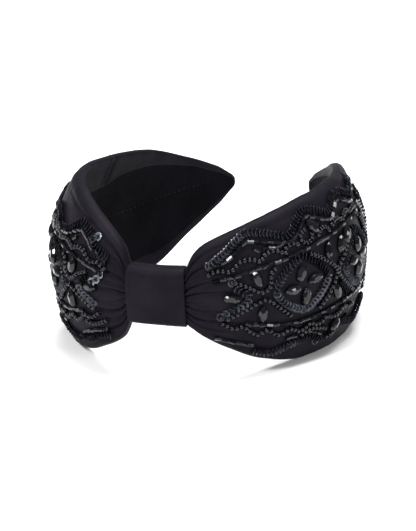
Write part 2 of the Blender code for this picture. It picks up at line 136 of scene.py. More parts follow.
# ---- the beading chart: run and height in mm -----------------------------------------------------
ROWS = [
    ("upper_sequin_border", "standing sequin", [
        (21, 13), (28, 18.5), (33, 23.5), (37, 26.5), (41, 26.5), (45, 25.5), (50, 24), (55, 22.5), (58, 24),
        (62, 28), (67, 31), (73, 29.5), (79, 26.5), (84, 27.5), (91, 31.5), (98, 30), (106, 26.5), (114, 29),
        (121, 28)]),
    ("upper_bugle_border", "bugle", [
        (21.5, 11.5), (29, 15.5), (36, 22), (40, 22.5), (47, 21), (55.5, 19.5), (61, 22.5), (66.5, 27.5),
        (72, 26), (81, 22.5), (85, 24), (91, 27.5), (97, 26), (105, 23), (113, 25.5), (120, 24.5)]),
    ("upper_seed_scallops", "seed", [
        (21, 9.5), (23.5, 11), (26.5, 11.5), (29.5, 11), (31.5, 12), (34, 14.5), (37, 15), (40, 14.5),
        (42.5, 13.5), (44, 15.5), (47, 17.2), (50, 16.8), (53, 15), (54, 17.5), (57, 18.5), (60, 17.2)]),
    ("upper_bugle_line", "bugle", [
        (23, 7.5), (32, 9), (40, 10.8), (50, 12.3), (58, 13.8), (68, 15), (81, 16.2), (93, 17.2), (108, 17)]),
    ("upper_seed_arc", "seed", [
        (31, 6.5), (34, 5.5), (37, 4), (40, 2), (42.5, 1.2), (45, 2.8), (45.8, 5.5), (46, 8), (48.5, 10.3)]),
    ("lower_seed_arc", "seed", [
        (27.5, -8.8), (31, -7.2), (36, -5), (40, -3), (43.2, -2), (46, -3.8), (49, -6.5), (54, -11.5)]),
    ("sequin_chevron", "flat sequin", [
        (31.5, 4.5), (35, 2), (36.8, -0.5), (35, -3), (31.5, -4.6), (27, -6.5)]),
    ("front_sequin_diamond", "standing sequin", [
        (60, 12), (65, 9.5), (70, 5.5), (73.3, 1), (70, -4), (65, -7.8), (60, -9.8), (55, -7.8),
        (50.3, -4), (47.7, 0.6), (50.3, 5.4), (55, 9.5)]),
    ("back_sequin_diamond", "standing sequin", [
        (97, 12.5), (102, 9.8), (106.5, 5.6), (109.5, 1), (106.5, -4), (102, -8), (97, -10.2), (92, -8),
        (87.5, -4), (84.5, 1), (87.5, 5.6), (92, 9.8)]),
    ("lower_bugle_line", "bugle", [
        (35, -11.3), (41, -12.8), (48, -14), (57, -14.7), (67, -14.5), (80, -14), (95, -14), (108, -14)]),
    ("lower_seed_scallops", "seed", [
        (25.5, -10), (28, -11.8), (31, -13), (34.5, -12.7), (37, -15), (39.5, -16.8), (42, -16),
        (44.5, -15.5), (47, -17.8), (49.5, -18.4), (52, -17.3), (54.5, -17.2), (57, -19), (60, -18.6),
        (63, -17), (66, -18.3), (69, -18.6), (72, -17), (76, -18.4), (80, -18.4),
        (84, -16.8), (88, -18.4), (93, -18.4)]),
    ("lower_sequin_border", "standing sequin", [
        (38, -24.5), (43, -27), (47, -27.3), (52, -26), (58, -24.2), (63, -24), (67, -26), (71, -28.2),
        (76, -27), (83, -24.2), (90, -26.6), (96, -28.4), (102, -26.6), (109, -24.2), (118, -26)]),
]
# Rows that stand for no node of the CAD model.
EXTRA_ROWS = [
    ("upper_seed_loop", "small seed", [(65, 23), (62, 21.5), (61.5, 18.8), (64, 17), (67, 18), (67.8, 20.8)]),
    ("upper_seed_crook", "small seed", [(70.5, 17.6), (72.5, 20), (75.5, 20.8), (78, 19), (77.5, 17.5)]),
    ("upper_seed_ripple", "seed", [
        (80, 19.6), (83, 21.2), (86.5, 21), (89, 19.4), (92, 21), (95.5, 21.6), (99, 20), (103, 20.8),
        (107, 19.8)]),
    ("upper_seed_descent", "seed", [(64, 12.3), (68, 10.2), (72, 7.4), (76, 4.4), (79, 1)]),
    ("back_seed_descent", "seed", [(92.5, 13.6), (89, 10.4), (85, 7), (81.5, 3.6), (79, 1)]),
    ("lower_seed_climb", "seed", [(67, -12), (70.5, -9.4), (74, -6.4), (77, -3), (79, 1)]),
    ("back_seed_climb", "seed", [(92, -12), (88, -9), (84.5, -6), (81.5, -3), (79, 1)]),
    ("gusset_sequin_bar", "standing sequin", [(80.5, -4.5), (84, -8), (87, -11.5)]),
    ("mouth_bugle_bar", "bugle", [(23, -16.5), (28, -18.2), (33.5, -20.2), (38, -21.8)]),
    ("lower_bugle_border", "bugle", [(62, -21.2), (66, -23), (70.5, -25.5)]),
    ("edge_bugle_line", "bugle", [(73, -29), (78, -27.6), (84, -25), (89, -22.5)]),
    ("loose_bugle_1", "bugle", [(39.5, 19.6), (43, 17.8)]),
    ("loose_bugle_2", "bugle", [(69.5, 24.6), (72.2, 22.4)]),
    ("loose_bugle_3", "bugle", [(52, -21.4), (56.5, -21.2)]),
    ("back_flank_seeds", "seed", [
        (110, 14), (113, 11), (115, 7), (116, 2), (115, -3), (113, -8), (110, -12)]),
    ("back_edge_bugles", "bugle", [
        (114, 20), (119, 14), (122, 7), (123, 0), (122, -7), (119, -14), (114, -20)]),
    ("back_edge_sequins", "standing sequin", [
        (121, 24), (125, 17), (127.5, 9), (128, 0), (127.5, -9), (125, -17), (120, -23.5)]),
]
# Rows that only one lobe has.
SINGLE_ROWS = {
    "left": [
        ("mouth_sequins", "standing sequin", [
            (21, -19.5), (25, -19.8), (29, -21.5), (33, -24.5), (36, -25.5)]),
        ("mouth_seeds", "seed", [(22, -12.5), (26, -14.5), (30, -15.8), (34, -15.2)]),
    ],
    "right": [
        ("edge_seeds", "seed", [(58, -21.6), (63, -19.8), (68, -20.8), (73, -23.2)]),
        ("loose_bugles", "bugle", [(44, 19), (50, 18.6), (54, 20.2)]),
    ],
}
# Middle of each stone and the turn of its long axis from the run, in degrees.
STONES = [
    ("chevron_stone", 30, 0.2, -8), ("upper_arc_stone", 40.3, 6.8, 108), ("lower_arc_stone", 42, -8, 86),
    ("flower_stone_1", 59.2, 5.4, 66), ("flower_stone_2", 65.6, 1.7, 10), ("flower_stone_3", 55, -0.2, 4),
    ("flower_stone_4", 60.8, -4.6, 76), ("upper_gusset_stone", 75, 10.6, 62),
    ("lower_gusset_stone", 78.2, -7.8, 104), ("back_flower_stone_1", 97, 6.2, 90),
    ("back_flower_stone_2", 97, -4.4, 90),
]
# Stones that stand for no node of the CAD model.
EXTRA_STONES = [
    ("peak_stone", 69.2, 22.9, 118), ("lower_edge_stone", 78, -22.6, 24), ("upper_back_stone", 89, 12.6, 70),
    ("back_flower_stone_3", 91.2, 1, 0), ("back_flower_stone_4", 102.8, 1, 0),
    ("back_gusset_stone_1", 84, 10.4, 60), ("back_gusset_stone_2", 111, 3, 84),
]
# Run and height of the single sequins that lie flat on the satin.
FLAT_SEQUINS = {
    "right": [(67.4, -28.6), (30.5, 6.6), (25.6, -7.4)],
    "left": [(28, 22), (30.6, 20.4), (26, 4.4), (28.4, 3), (24, 6.8), (67.4, -28.6)],
}

STONE_LENGTH = 0.0076
STONE_WIDTH = 0.0043
STONE_RISE = 0.0026


# ---- where things are on the band ----------------------------------------------------------------
def smooth_curve(table, x):
    """Values at x on a smooth curve through a table of (x, value), level at its peaks, ends and flats."""
    knots, values = np.array(table, float).T
    steps = np.diff(knots)
    rises = np.diff(values) / steps
    product = rises[:-1] * rises[1:]
    pulls = np.zeros(len(knots))
    pulls[1:-1] = np.where(product > 0, 2 * product / np.where(product > 0, rises[:-1] + rises[1:], 1), 0)
    x = np.clip(x, knots[0], knots[-1])
    i = np.clip(np.searchsorted(knots, x) - 1, 0, len(steps) - 1)
    share = (x - knots[i]) / steps[i]
    bend = share * (1 - share) * (pulls[i] * steps[i] * (1 - share) - pulls[i + 1] * steps[i] * share)
    return values[i] + (values[i + 1] - values[i]) * (3 - 2 * share) * share**2 + bend


def plan_line():
    """Runs, x, y and heading of the band's mid-line in plan, from the crown to the tip."""
    shares = (np.arange(PLAN_STEPS) + 0.5) / PLAN_STEPS
    turns = smooth_curve(BEND, shares)
    turns *= ARM_TURN / turns.sum()
    heading = np.concatenate([[0], np.cumsum(turns)])
    middle = heading[:-1] + turns / 2
    step = ARM_LENGTH / PLAN_STEPS
    x = np.concatenate([[0], np.cumsum(np.cos(middle)) * step])
    y = np.concatenate([[0], np.cumsum(np.sin(middle)) * step])
    return np.linspace(0, ARM_LENGTH, PLAN_STEPS + 1), x, y, heading


PLAN = plan_line()
WRAP_LOW, WRAP_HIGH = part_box("knot_wrap")
CROWN_Y = WRAP_LOW.y + WRAP_FRONT
CROWN_Z = (WRAP_LOW.z + WRAP_HIGH.z) / 2


def place(s, z, t, side=1):
    """World points at run s, height z and depth t, as an array of shape (..., 3)."""
    s, z, t = np.broadcast_arrays(np.asarray(s, float), np.asarray(z, float), np.asarray(t, float))
    runs, x, y, heading = PLAN
    reach = np.abs(s)
    past_tip = np.maximum(reach - ARM_LENGTH, 0)
    angle = np.interp(reach, runs, heading)
    depth = t - z * z / (2 * np.where(z > 0, UPPER_SECTION_RADIUS, LOWER_SECTION_RADIUS))
    across = np.interp(reach, runs, x) + np.cos(angle) * past_tip + np.sin(angle) * depth
    back = np.interp(reach, runs, y) + np.sin(angle) * past_tip - np.cos(angle) * depth
    return np.stack([side * np.where(s < 0, -across, across), back + CROWN_Y, z + CROWN_Z], axis=-1)


def ease(x):
    x = np.clip(x, 0, 1)
    return x * x * (3 - 2 * x)


def bell(x):
    """1 at 0, falling smoothly to 0 on both sides."""
    return np.exp(-(x**2))


def edge_height(edge, s):
    share = (s - NECK_END) / (ARM_LENGTH - NECK_END)
    return smooth_curve(edge, share) * HALF_HEIGHT


def hem_line(edge, hem, s):
    """Height of a hem's free edge: closed in the neck, running into the rim at the tip."""
    line = edge_height(edge, s) - smooth_curve(hem, s / ARM_LENGTH)
    opening = ease((s - NECK_END + 0.001) / 0.0075)
    return HEM_SLOT + np.maximum(line - HEM_SLOT, 0) * opening


def ripples(s, z, size, seed):
    """Low, uneven waves in the cloth, about size across."""
    dice = np.random.default_rng(seed)
    total = np.zeros(np.broadcast(s, z).shape)
    for _ in range(9):
        turn, phase, stretch = dice.uniform(0, math.tau), dice.uniform(0, math.tau), dice.uniform(0.7, 1.6)
        total += np.sin((s * math.cos(turn) + z * math.sin(turn)) * math.tau / (size * stretch) + phase)
    return total / 3


def gather_depth(s, z, side):
    """How far the gathers in a lobe's mouth sink the satin, and how far the cloth beside them puffs up."""
    half = edge_height(UPPER_EDGES[side], s)
    run = s - WRAP_HALF_WIDTH
    sunk = np.zeros(np.broadcast(s, z).shape)
    for i, (share, length, depth) in enumerate(RIGHT_GATHERS if side > 0 else LEFT_GATHERS):
        drift = 0.0004 * np.sin(run * 180 + i * 1.7)
        distance = z - share * half - drift * ease(run / 0.006)
        width = 0.00038 + 0.030 * np.maximum(run, 0)
        fade = ease(1 - run / (length * MM))
        away = np.sqrt(distance**2 + (0.08 * MM) ** 2)
        sunk -= 1.25 * depth * MM * fade * np.exp(-away / width)
        sunk += 0.40 * depth * MM * fade * bell((distance - 2.6 * width) / (1.6 * width))
    return sunk


def front_depth(s, z, side):
    """Depth of the cover's outer face, with its gathers and soft unevenness."""
    flare = ease((s - COVER_START) / (LOBE_FULL_RUN - COVER_START))
    depth = NECK_FRONT + (LOBE_FRONT - NECK_FRONT) * flare
    half = np.maximum(edge_height(UPPER_EDGES[side], s), 1 * MM)
    crowned = 0.0003 * (1 - np.clip(z / half, -1, 1) ** 2) * ease((s - 0.012) / 0.02)
    crowned = crowned * ease((ARM_LENGTH - s) / 0.03)
    tip_calm = ease((ARM_LENGTH - s) / 0.02)
    uneven = 0.16 * MM * ripples(s, z, 0.021, 3 + side) * ease((s - 0.012) / 0.012) * tip_calm
    puckers = 0.07 * MM * ripples(s, z, 0.0065, 11 + side) * ease((s - 0.02) / 0.02) * tip_calm
    return depth + crowned + gather_depth(s, z, side) + uneven + puckers


def seat(run, height, side, lift=0.0):
    """Point on the cover at a place on the chart, with the run direction and the outward direction there."""
    s, z = run * MM, height * MM
    step = 0.0012
    runs = np.array([s, s + step, s - step, s, s])
    heights = np.array([z, z, z, z + step, z - step])
    middle, ahead, behind, above, below = place(runs, heights, front_depth(runs, heights, side), side)
    along = Vector(ahead - behind).normalized()
    out = along.cross(Vector(above - below)).normalized() * side
    return Vector(middle) + out * lift, along, out


# ---- materials -----------------------------------------------------------------------------------
def shader_group(name, inputs, outputs):
    group = bpy.data.node_groups.new(name, "ShaderNodeTree")
    for label, kind, value in inputs:
        socket = group.interface.new_socket(label, in_out="INPUT", socket_type=kind)
        if value is not None:
            socket.default_value = value
    for label, kind in outputs:
        group.interface.new_socket(label, in_out="OUTPUT", socket_type=kind)
    return group, group.nodes.new("NodeGroupInput"), group.nodes.new("NodeGroupOutput")


def math_node(tree, operation, first, second=None):
    node = tree.nodes.new("ShaderNodeMath")
    node.operation = operation
    for socket, value in zip(node.inputs, (first, second)):
        if isinstance(value, bpy.types.NodeSocket):
            tree.links.new(value, socket)
        elif value is not None:
            socket.default_value = value
    return node.outputs[0]


def weave_group():
    """Plain weave from threads crossing in X and Y of the vector, with uneven thread thickness."""
    group, given, made = shader_group(
        "cloth weave",
        [("Vector", "NodeSocketVector", None), ("Threads per metre", "NodeSocketFloat", 2600.0),
         ("Slub", "NodeSocketFloat", 0.3)],
        [("Height", "NodeSocketFloat")])
    split = group.nodes.new("ShaderNodeSeparateXYZ")
    group.links.new(given.outputs["Vector"], split.inputs[0])
    rate = math_node(group, "MULTIPLY", given.outputs["Threads per metre"], math.pi)
    warp = math_node(group, "SINE", math_node(group, "MULTIPLY", split.outputs[0], rate))
    weft = math_node(group, "SINE", math_node(group, "MULTIPLY", split.outputs[1], rate))
    crossing = math_node(group, "MULTIPLY", warp, weft)
    noise = group.nodes.new("ShaderNodeTexNoise")
    noise.inputs["Scale"].default_value = 420
    noise.inputs["Detail"].default_value = 3
    group.links.new(given.outputs["Vector"], noise.inputs["Vector"])
    slub = math_node(group, "MULTIPLY", noise.outputs["Fac"], given.outputs["Slub"])
    group.links.new(math_node(group, "ADD", crossing, slub), made.inputs["Height"])
    return group


def mottle_group():
    """Soft patches between 0 and 1, for uneven dye, lint and handling."""
    group, given, made = shader_group(
        "soft mottle",
        [("Vector", "NodeSocketVector", None), ("Scale", "NodeSocketFloat", 60.0),
         ("From", "NodeSocketFloat", 0.35), ("To", "NodeSocketFloat", 0.65)],
        [("Mask", "NodeSocketFloat")])
    noise = group.nodes.new("ShaderNodeTexNoise")
    noise.inputs["Detail"].default_value = 4
    noise.inputs["Roughness"].default_value = 0.6
    group.links.new(given.outputs["Vector"], noise.inputs["Vector"])
    group.links.new(given.outputs["Scale"], noise.inputs["Scale"])
    spread = group.nodes.new("ShaderNodeMapRange")
    group.links.new(noise.outputs["Fac"], spread.inputs["Value"])
    group.links.new(given.outputs["From"], spread.inputs["From Min"])
    group.links.new(given.outputs["To"], spread.inputs["From Max"])
    group.links.new(spread.outputs["Result"], made.inputs["Mask"])
    return group


WEAVE = weave_group()
MOTTLE = mottle_group()


def new_finish(name, roughness, metallic=0.0, **plain):
    """A material with its Principled shader, and its coordinates node."""
    material = bpy.data.materials.new(name)
    material.use_nodes = True
    tree = material.node_tree
    shader = tree.nodes["Principled BSDF"]
    shader.inputs["Roughness"].default_value = roughness
    shader.inputs["Metallic"].default_value = metallic
    for label, value in plain.items():
        shader.inputs[label.replace("_", " ")].default_value = value
    return material, tree, shader, tree.nodes.new("ShaderNodeTexCoord")


def place_group(tree, group, vector, **values):
    node = tree.nodes.new("ShaderNodeGroup")
    node.node_tree = group
    tree.links.new(vector, node.inputs["Vector"])
    for label, value in values.items():
        node.inputs[label.replace("_", " ")].default_value = value
    return node.outputs[0]


def between_colours(tree, mask, low, high, socket):
    mix = tree.nodes.new("ShaderNodeMix")
    mix.data_type = "RGBA"
    tree.links.new(mask, mix.inputs["Factor"])
    mix.inputs["A"].default_value = (*low, 1)
    mix.inputs["B"].default_value = (*high, 1)
    tree.links.new(mix.outputs["Result"], socket)


def between_values(tree, mask, low, high, socket):
    spread = tree.nodes.new("ShaderNodeMapRange")
    tree.links.new(mask, spread.inputs["Value"])
    spread.inputs["To Min"].default_value = low
    spread.inputs["To Max"].default_value = high
    tree.links.new(spread.outputs["Result"], socket)


def add_bump(tree, shader, height, distance, strength):
    bump = tree.nodes.new("ShaderNodeBump")
    bump.inputs["Distance"].default_value = distance
    bump.inputs["Strength"].default_value = strength
    tree.links.new(height, bump.inputs["Height"])
    tree.links.new(bump.outputs["Normal"], shader.inputs["Normal"])


def cloth_finish(name, low, high, roughness, threads, weave_depth, gloss, coordinates="UV"):
    """Woven cloth: uneven dye, and threads per metre raised by weave_depth."""
    material, tree, shader, coords = new_finish(name, roughness[0], Specular_IOR_Level=gloss)
    vector = coords.outputs[coordinates]
    patches = place_group(tree, MOTTLE, coords.outputs["Object"], Scale=55.0)
    between_colours(tree, patches, low, high, shader.inputs["Base Color"])
    fine = place_group(tree, MOTTLE, coords.outputs["Object"], Scale=900.0, From=0.3, To=0.7)
    between_values(tree, fine, *roughness, shader.inputs["Roughness"])
    threads_height = place_group(tree, WEAVE, vector, Threads_per_metre=threads)
    add_bump(tree, shader, threads_height, distance=weave_depth, strength=0.5)
    return material


def glass_finish(name, low, high, roughness, metallic=0.0, scale=300.0, gloss=0.3):
    """Glossy bead, sequin or stone: each piece takes a slightly different shade and polish."""
    material, tree, shader, coords = new_finish(name, roughness[0], metallic, Specular_IOR_Level=gloss)
    shades = place_group(tree, MOTTLE, coords.outputs["Object"], Scale=scale, From=0.38, To=0.62)
    between_colours(tree, shades, low, high, shader.inputs["Base Color"])
    between_values(tree, shades, *roughness, shader.inputs["Roughness"])
    marks = place_group(tree, MOTTLE, coords.outputs["Object"], Scale=2400.0, From=0.2, To=0.8)
    add_bump(tree, shader, marks, distance=0.00003, strength=0.25)
    return material


SATIN = cloth_finish(
    "black satin", (0.0068, 0.0060, 0.0088), (0.0105, 0.0092, 0.0130), (0.42, 0.55),
    threads=3000, weave_depth=0.00004, gloss=0.03)
LINING = cloth_finish(
    "black lining", (0.0022, 0.0022, 0.0034), (0.0040, 0.0040, 0.0060), (0.65, 0.8),
    threads=2200, weave_depth=0.00006, gloss=0.03)
FOAM = cloth_finish(
    "white foam", (0.66, 0.64, 0.58), (0.78, 0.76, 0.72), (0.9, 1.0),
    threads=900, weave_depth=0.0002, gloss=0.3, coordinates="Object")
BUCKRAM = cloth_finish(
    "buckram", (0.50, 0.46, 0.38), (0.64, 0.60, 0.52), (0.8, 0.95),
    threads=900, weave_depth=0.0002, gloss=0.3, coordinates="Object")
THREAD = cloth_finish(
    "black thread", (0.004, 0.004, 0.006), (0.012, 0.012, 0.015), (0.55, 0.7),
    threads=5000, weave_depth=0.00004, gloss=0.2, coordinates="Object")
SPRING = glass_finish("black spring strip", (0.02, 0.02, 0.02), (0.04, 0.04, 0.04), (0.35, 0.5))
SEED_GLASS = glass_finish("black seed glass", (0.002, 0.002, 0.003), (0.007, 0.007, 0.010), (0.06, 0.14))
BUGLE_GLASS = glass_finish("black bugle glass", (0.002, 0.002, 0.003), (0.009, 0.009, 0.013), (0.05, 0.15))
SEQUIN_FILM = glass_finish(
    "gunmetal sequin film", (0.014, 0.015, 0.021), (0.050, 0.054, 0.070), (0.14, 0.26), metallic=0.55)
# A paler copy of the gunmetal sequin film, a painted highlight: the left lobe's single flat sequins catch the
# light, and this colour stands in for it.
SEQUIN_FILM_PAINTED_HIGHLIGHT = glass_finish(
    "sequin film with painted highlight", (0.16, 0.18, 0.21), (0.26, 0.29, 0.33), (0.16, 0.26), metallic=0.5)
STONE_GLASS = glass_finish(
    "smoky stone glass", (0.002, 0.002, 0.003), (0.008, 0.008, 0.011), (0.02, 0.05),
    scale=160.0, gloss=0.35)


# ---- making pieces -------------------------------------------------------------------------------
def new_piece(name, shape, material, smooth=True):
    mesh = bpy.data.meshes.new(name)
    for face in shape.faces:
        face.smooth = smooth
    shape.to_mesh(mesh)
    shape.free()
    mesh.materials.append(material)
    piece = bpy.data.objects.new(name, mesh)
    bpy.context.scene.collection.objects.link(piece)
    return piece


def point(s, z, t, side):
    return tuple(float(x) for x in place(s, z, t, side))


def follow_arm(piece, arm):
    """Bakes the piece's placement into its mesh."""
    side = 1 if arm == "right" else -1
    point(BLEND_START, 0, 0, side)
    point(BLEND_END, 0, 0, side)
    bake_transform(piece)


def grid_piece(name, columns, rows, shape_of, material, close_rows=False):
    """A grid whose points shape_of moves into place, given each point's shares along and across it.

    shape_of returns the points. The cloth's own run and path lengths become its UV map."""
    shape = bmesh.new()
    bmesh.ops.create_grid(shape, x_segments=columns, y_segments=rows, size=0.5)
    flat = np.array([vert.co[:2] for vert in shape.verts]) + 0.5
    shares_x, column = np.unique(np.round(flat[:, 0], 5), return_inverse=True)
    shares_y, row = np.unique(np.round(flat[:, 1], 5), return_inverse=True)
    points = shape_of(shares_x[:, None], shares_y[None, :])
    paths = np.zeros(points.shape[:2] + (2,))
    for axis in (0, 1):
        steps = np.linalg.norm(np.diff(points, axis=axis), axis=-1)
        paths[..., axis] = np.cumsum(np.insert(steps, 0, 0, axis=axis), axis=axis)
    paths[..., 0] = paths[:, paths.shape[1] // 4, 0][:, None]
    uv_layer = shape.loops.layers.uv.new("cloth")
    for vert, i, j in zip(shape.verts, column, row):
        vert.co = points[i, j]
        for loop in vert.link_loops:
            loop[uv_layer].uv = paths[i, j]
    bmesh.ops.remove_doubles(shape, verts=shape.verts, dist=2e-6)
    if close_rows:
        open_edges = [edge for edge in shape.edges if edge.is_boundary]
        bmesh.ops.holes_fill(shape, edges=open_edges)
    bmesh.ops.recalc_face_normals(shape, faces=shape.faces)
    return new_piece(name, shape, material)


def rounded_rectangle(share, half_width, half_height, radius):
    """Points round a rectangle with round corners, evenly by length, from the middle of its lower side."""
    wide, high, arc = half_width - radius, half_height - radius, radius * math.pi / 2
    lengths = [wide, arc, 2 * high, arc, 2 * wide, arc, 2 * high, arc, wide]
    ends = np.cumsum(lengths)
    run = np.asarray(share) * ends[-1]
    x, y = np.zeros_like(run), np.zeros_like(run)
    corners = [(wide, -high, -90), (wide, high, 0), (-wide, high, 90), (-wide, -high, 180)]
    straights = [((0, -half_height), (1, 0)), ((half_width, -high), (0, 1)), ((wide, half_height), (-1, 0)),
                 ((-half_width, high), (0, -1)), ((-wide, -half_height), (1, 0))]
    for i, (length, end) in enumerate(zip(lengths, ends)):
        here = (run >= end - length) & (run <= end)
        along = run - (end - length)
        if i % 2:
            cx, cy, first = corners[i // 2]
            angle = np.radians(first) + along / radius
            new_x, new_y = cx + radius * np.cos(angle), cy + radius * np.sin(angle)
        else:
            (px, py), (dx, dy) = straights[i // 2]
            new_x, new_y = px + dx * along, py + dy * along
        x, y = np.where(here, new_x, x), np.where(here, new_y, y)
    return x, y


COVER_COLUMNS, COVER_ROWS = 250, 272
TIP_COLUMNS = 14
# Where the back panel, its step, the hem and the rim end, as shares of the way round the cover's section.
BACK_PANEL, BACK_STEP, HEM_END, RIM_END = 0.07, 0.085, 0.16, 0.25
RIM_SQUARENESS = 2.5


def cover_points(side):
    top_edge, low_edge = UPPER_EDGES[side], LOWER_EDGES[side]

    def shape_of(along, around):
        main = 1 - TIP_COLUMNS / COVER_COLUMNS
        run = COVER_END - TIP_ROUNDING - COVER_START
        bent = np.clip(along / main, 0, 1)
        s = COVER_START + run * (0.55 * bent + 0.45 * bent**1.6)
        s = s + TIP_ROUNDING * np.sin(np.clip((along - main) / (1 - main), 0, 1) * math.pi / 2)
        closing = tip_closing(s)
        upper = around > 0.5
        around = np.where(upper, 1 - around, around)
        sign = np.where(upper, 1.0, -1.0)
        edge = np.where(upper, edge_height(top_edge, s), edge_height(low_edge, s))
        hem = np.where(upper, hem_line(top_edge, UPPER_HEM, s), hem_line(low_edge, LOWER_HEM, s))
        thin = closing**0.5 * tip_thinning(s)
        rim_reach = np.minimum(HALF_DEPTH * thin, edge * 0.9)
        flat_edge = edge - rim_reach
        step = ease((around - BACK_PANEL) / (BACK_STEP - BACK_PANEL))
        hem_share = np.clip((around - BACK_STEP) / (HEM_END - BACK_STEP), 0, 1)
        rim_angle = (np.clip((around - HEM_END) / (RIM_END - HEM_END), 0, 1) - 0.5) * math.pi
        front_share = np.clip((around - RIM_END) / (0.5 - RIM_END), 0, 1)
        hem = np.minimum(hem, flat_edge)
        back_height = hem * np.clip(around / BACK_STEP, 0, 1) + (flat_edge - hem) * hem_share
        corner = np.abs(np.cos(rim_angle)) ** (2 / RIM_SQUARENESS)
        rise = np.sign(np.sin(rim_angle)) * np.abs(np.sin(rim_angle)) ** (2 / RIM_SQUARENESS)
        on_rim = (around > HEM_END) & (around < RIM_END)
        height = np.where(on_rim, flat_edge + rim_reach * corner, back_height)
        height = np.where(around >= RIM_END, flat_edge * (1 - front_share), height) * sign
        height = height * closing
        open_hem = ease((s - NECK_END) / 0.006) * ease((COVER_END - 0.0005 - s) / 0.004)
        back = -HALF_DEPTH * thin + RECESS * (1 - step) * open_hem
        front_here = front_depth(s, height, side) * thin
        depth = np.where(around < RIM_END, back + (front_here - back) * (rise + 1) / 2, front_here)
        depth = depth + rim_crease(s, around, upper, side)
        depth = depth + np.where((around < RIM_END) & upper, hem_dart(s, height), 0)
        return place(s, height, depth, side)

    return shape_of


def tip_closing(s):
    """1 along the lobe, falling to 0 at the very tip in a round end."""
    return np.sqrt(np.clip(1 - np.clip((s - COVER_END + TIP_ROUNDING) / TIP_ROUNDING, 0, 1) ** 2.3, 0, 1))


def tip_thinning(s):
    return 1 - 0.25 * ease((s - 0.17) / 0.0255)


# Run and height of a point on the dart, and how much its line slants along the run with height.
DART_RUN, DART_HEIGHT, DART_SLANT = 0.1190, 0.0186, 0.22


def hem_dart(s, z):
    """A pleat that takes up the upper hem where its edge turns down: a sharp fold with a raised lip."""
    across = s - (DART_RUN + (z - DART_HEIGHT) * DART_SLANT)
    reach = ease((z - 0.0165) / 0.003) * ease((0.0315 - z) / 0.006)
    fold = 1.7 * MM * np.exp(-np.abs(across) / 0.0010)
    lip = 1.1 * MM * bell((across + 0.0022) / 0.0017) + 0.3 * MM * bell((across - 0.004) / 0.003)
    return (fold - lip) * reach


def rim_crease(s, around, upper, side):
    """A pressed crease where the rim meets the front, strongest near the mouth, and waves in the hems."""
    strength = (0.45 if side < 0 else 0.25) * np.where(upper, 1.0, 0.5) * MM
    fade = ease((s - 0.012) / 0.004) * ease((0.078 - s) / 0.03)
    line = bell((around - RIM_END - 0.004) / 0.006)
    waves = 0.10 * MM * np.sin(s * 420 + 2 * np.sin(s * 130))
    waves = waves * ease((around - BACK_STEP) / 0.02) * ease((RIM_END - around) / 0.03)
    waves = waves * ease((s - 0.02) / 0.01) * ease((ARM_LENGTH - 0.02 - s) / 0.02)
    return waves - strength * fade * line


def make_cover(arm, side):
    cover = grid_piece(
        f"{arm}_satin_cover", COVER_COLUMNS, COVER_ROWS, cover_points(side), SATIN, close_rows=True)
    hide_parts(f"{arm}_cover")
    follow_arm(cover, arm)


def make_lining(arm, side):
    start, end = NECK_END + 0.0012, COVER_END - 0.0014
    gap = 0.00025

    def shape_of(along, across):
        s = start + (end - start) * along
        top = hem_line(UPPER_EDGES[side], UPPER_HEM, s) - gap
        bottom = hem_line(LOWER_EDGES[side], LOWER_HEM, s) - gap
        z = (-bottom + (top + bottom) * across) * tip_closing(s + 0.0012)
        calm = ease(np.minimum(across, 1 - across) / 0.12)
        folds = 0.16 * MM * ripples(s, z * 0.6, 0.016, 21 + side) * calm
        pull = 0.22 * MM * bell((z - 0.3 * (s - 0.09)) / 0.0016)
        pull = pull * ease((s - 0.05) / 0.03) * ease((0.14 - s) / 0.03)
        seam = 0.18 * MM * bell((z - centre_seam(s)) / 0.0006) * ease((s - 0.045) / 0.01)
        tuck_line = 0.1132 + np.clip(z - 0.0099, 0, 0.0087) * 0.65
        tuck = 0.35 * MM * np.exp(-np.abs(s - tuck_line) / 0.0008)
        tuck = tuck * ease((z - 0.006) / 0.004) * ease((0.0215 - z) / 0.003)
        t = -HALF_DEPTH * tip_thinning(s) + LINING_DEPTH + np.maximum(folds, -0.15 * MM)
        return place(s, z, t + seam + tuck - pull * calm * 0.5, side)

    lining = grid_piece(f"{arm}_lining_cloth", columns=150, rows=56, shape_of=shape_of, material=LINING)
    face_inwards(lining)
    wall = lining.modifiers.new("cloth thickness", "SOLIDIFY")
    wall.thickness = LINING_THICKNESS
    wall.offset = -1
    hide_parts(f"{arm}_lining")
    follow_arm(lining, arm)


def face_inwards(piece):
    """The lining's normals point to the inside of the band."""
    shape = bmesh.new()
    shape.from_mesh(piece.data)
    shape.faces.ensure_lookup_table()
    face = shape.faces[len(shape.faces) // 2]
    outwards = face.calc_center_median() - Vector((0, 0, CROWN_Z))
    if face.normal.dot(outwards) > 0:
        bmesh.ops.reverse_faces(shape, faces=shape.faces)
    shape.to_mesh(piece.data)
    shape.free()


def centre_seam(s):
    """Height of the lining's sewn seam, from the middle near the crown to a little over it at the tip."""
    return 0.0022 * ease((np.asarray(s) - 0.12) / 0.07)


